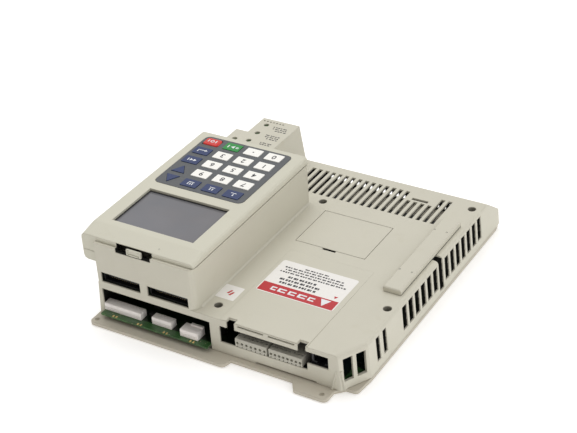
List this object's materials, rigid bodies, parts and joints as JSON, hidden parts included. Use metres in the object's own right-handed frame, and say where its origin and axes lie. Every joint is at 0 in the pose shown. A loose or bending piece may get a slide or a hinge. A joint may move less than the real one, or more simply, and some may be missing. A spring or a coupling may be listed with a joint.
{
  "type": "servo drive",
  "caption": "Flat wall-mount servo drive control unit with a raised plug-in keypad and display, vented cover, hinged doors and pluggable terminals.",
  "frame": {"origin": "centre of the bounding box, on the plane of the back plate's rear face", "axes": "+Z out of the front face (the keys point up), -Y the end with the terminals, +X towards the vented side wall"},
  "size_m": [0.2392, 0.266, 0.0786],
  "materials": {
    "housing_plastic": "moulded satin plastic",
    "base_plastic": "moulded satin plastic",
    "cover_plastic": "moulded satin plastic",
    "keypad_plastic": "moulded satin plastic",
    "overlay_film": "printed matt film",
    "key_white": "printed film",
    "key_blue": "printed film",
    "key_red": "domed, glossy",
    "key_green": "printed film",
    "lcd_glass": "dark glossy window",
    "lcd_frame_metal": "pressed sheet",
    "board_laminate": "soldermask",
    "connector_black": "moulded",
    "header_nylon": "nylon",
    "terminal_grey": "moulded",
    "screw_steel": "zinc plated",
    "bare_aluminium": "extruded",
    "capacitor_sleeve": "shrink sleeve",
    "ferrite": "sintered",
    "relay_case": "moulded"
  },
  "bodies": {
    "drive": {"base_plate": "base_plastic", "housing": "housing_plastic", "housing_screw_1": "screw_steel", "housing_screw_2": "screw_steel", "housing_screw_3": "screw_steel", "housing_screw_4": "screw_steel", "main_board": "board_laminate", "upper_board": "board_laminate", "header_motor_feedback": "header_nylon", "header_encoder_output": "header_nylon", "header_serial_link": "header_nylon", "port_socket_left": "connector_black", "port_socket_right": "connector_black", "terminal_socket_left": "terminal_grey", "terminal_socket_right": "terminal_grey", "serial_jack": "connector_black", "keypad_socket": "connector_black", "bus_capacitor_1": "capacitor_sleeve", "bus_capacitor_2": "capacitor_sleeve", "power_transformer": "ferrite", "power_module": "connector_black", "heat_sink": "bare_aluminium", "brake_relay": "relay_case", "processor": "connector_black", "memory_chip": "connector_black", "board_link": "connector_black", "indicator_board": "board_laminate"},
    "keypad": {"keypad_front_shell": "keypad_plastic", "keypad_rear_shell": "keypad_plastic", "key_overlay": "overlay_film", "lcd_window": "lcd_glass", "lcd_module": "lcd_frame_metal", "keypad_board": "board_laminate", "keypad_plug": "connector_black"},
    "latch": {"keypad_latch": "keypad_plastic"},
    "door": {"access_door": "cover_plastic"},
    "expansion_lid": {"expansion_cover": "cover_plastic"},
    "plug_left": {"terminal_plug_left": "terminal_grey"},
    "plug_right": {"terminal_plug_right": "terminal_grey"},
    "key_0_cap": {"key_0": "key_white"},
    "key_1_cap": {"key_1": "key_white"},
    "key_2_cap": {"key_2": "key_white"},
    "key_3_cap": {"key_3": "key_white"},
    "key_4_cap": {"key_4": "key_white"},
    "key_5_cap": {"key_5": "key_white"},
    "key_6_cap": {"key_6": "key_white"},
    "key_7_cap": {"key_7": "key_white"},
    "key_8_cap": {"key_8": "key_white"},
    "key_9_cap": {"key_9": "key_white"},
    "key_point_cap": {"key_point": "key_white"},
    "key_run_cap": {"key_run": "key_green"},
    "key_stop_cap": {"key_stop": "key_red"},
    "key_enter_cap": {"key_enter": "key_blue"},
    "key_escape_cap": {"key_escape": "key_blue"},
    "key_up_cap": {"key_up": "key_blue"},
    "key_down_cap": {"key_down": "key_blue"},
    "key_f1_cap": {"key_f1": "key_blue"},
    "key_f2_cap": {"key_f2": "key_blue"},
    "key_f3_cap": {"key_f3": "key_blue"}
  },
  "joints": [
    {"name": "keypad_lift", "type": "slide", "parent": "drive", "child": "keypad", "axis": [0, 0, 1], "range_m": [0, 0.04]},
    {"name": "latch_press", "type": "slide", "parent": "drive", "child": "latch", "axis": [0, -1, 0], "range_m": [0, 0.0015], "stiffness_N_per_m": 1500, "springref_m": -0.001},
    {"name": "door_hinge", "type": "hinge", "parent": "drive", "child": "door", "pos_m": [0.0646, 0.02215, 0.034], "axis": [0, 1, 0], "range_deg": [0, 105]},
    {"name": "expansion_hinge", "type": "hinge", "parent": "drive", "child": "expansion_lid", "pos_m": [0.0972, 0.0195, 0.0343], "axis": [0, -1, 0], "range_deg": [0, 90]},
    {"name": "plug_left_pull", "type": "slide", "parent": "drive", "child": "plug_left", "axis": [0, -1, 0], "range_m": [0, 0.012]},
    {"name": "plug_right_pull", "type": "slide", "parent": "drive", "child": "plug_right", "axis": [0, -1, 0], "range_m": [0, 0.012]},
    {"name": "key_0_press", "type": "slide", "parent": "keypad", "child": "key_0_cap", "axis": [0, 0, -1], "range_m": [0, 0.0008], "stiffness_N_per_m": 800, "springref_m": -0.0006},
    {"name": "key_1_press", "type": "slide", "parent": "keypad", "child": "key_1_cap", "axis": [0, 0, -1], "range_m": [0, 0.0008], "stiffness_N_per_m": 800, "springref_m": -0.0006},
    {"name": "key_2_press", "type": "slide", "parent": "keypad", "child": "key_2_cap", "axis": [0, 0, -1], "range_m": [0, 0.0008], "stiffness_N_per_m": 800, "springref_m": -0.0006},
    {"name": "key_3_press", "type": "slide", "parent": "keypad", "child": "key_3_cap", "axis": [0, 0, -1], "range_m": [0, 0.0008], "stiffness_N_per_m": 800, "springref_m": -0.0006},
    {"name": "key_4_press", "type": "slide", "parent": "keypad", "child": "key_4_cap", "axis": [0, 0, -1], "range_m": [0, 0.0008], "stiffness_N_per_m": 800, "springref_m": -0.0006},
    {"name": "key_5_press", "type": "slide", "parent": "keypad", "child": "key_5_cap", "axis": [0, 0, -1], "range_m": [0, 0.0008], "stiffness_N_per_m": 800, "springref_m": -0.0006},
    {"name": "key_6_press", "type": "slide", "parent": "keypad", "child": "key_6_cap", "axis": [0, 0, -1], "range_m": [0, 0.0008], "stiffness_N_per_m": 800, "springref_m": -0.0006},
    {"name": "key_7_press", "type": "slide", "parent": "keypad", "child": "key_7_cap", "axis": [0, 0, -1], "range_m": [0, 0.0008], "stiffness_N_per_m": 800, "springref_m": -0.0006},
    {"name": "key_8_press", "type": "slide", "parent": "keypad", "child": "key_8_cap", "axis": [0, 0, -1], "range_m": [0, 0.0008], "stiffness_N_per_m": 800, "springref_m": -0.0006},
    {"name": "key_9_press", "type": "slide", "parent": "keypad", "child": "key_9_cap", "axis": [0, 0, -1], "range_m": [0, 0.0008], "stiffness_N_per_m": 800, "springref_m": -0.0006},
    {"name": "key_point_press", "type": "slide", "parent": "keypad", "child": "key_point_cap", "axis": [0, 0, -1], "range_m": [0, 0.0008], "stiffness_N_per_m": 800, "springref_m": -0.0006},
    {"name": "key_run_press", "type": "slide", "parent": "keypad", "child": "key_run_cap", "axis": [0, 0, -1], "range_m": [0, 0.0008], "stiffness_N_per_m": 800, "springref_m": -0.0006},
    {"name": "key_stop_press", "type": "slide", "parent": "keypad", "child": "key_stop_cap", "axis": [0, 0, -1], "range_m": [0, 0.0008], "stiffness_N_per_m": 800, "springref_m": -0.0006},
    {"name": "key_enter_press", "type": "slide", "parent": "keypad", "child": "key_enter_cap", "axis": [0, 0, -1], "range_m": [0, 0.0008], "stiffness_N_per_m": 800, "springref_m": -0.0006},
    {"name": "key_escape_press", "type": "slide", "parent": "keypad", "child": "key_escape_cap", "axis": [0, 0, -1], "range_m": [0, 0.0008], "stiffness_N_per_m": 800, "springref_m": -0.0006},
    {"name": "key_up_press", "type": "slide", "parent": "keypad", "child": "key_up_cap", "axis": [0, 0, -1], "range_m": [0, 0.0008], "stiffness_N_per_m": 800, "springref_m": -0.0006},
    {"name": "key_down_press", "type": "slide", "parent": "keypad", "child": "key_down_cap", "axis": [0, 0, -1], "range_m": [0, 0.0008], "stiffness_N_per_m": 800, "springref_m": -0.0006},
    {"name": "key_f1_press", "type": "slide", "parent": "keypad", "child": "key_f1_cap", "axis": [0, 0, -1], "range_m": [0, 0.0008], "stiffness_N_per_m": 800, "springref_m": -0.0006},
    {"name": "key_f2_press", "type": "slide", "parent": "keypad", "child": "key_f2_cap", "axis": [0, 0, -1], "range_m": [0, 0.0008], "stiffness_N_per_m": 800, "springref_m": -0.0006},
    {"name": "key_f3_press", "type": "slide", "parent": "keypad", "child": "key_f3_cap", "axis": [0, 0, -1], "range_m": [0, 0.0008], "stiffness_N_per_m": 800, "springref_m": -0.0006}
  ]
}
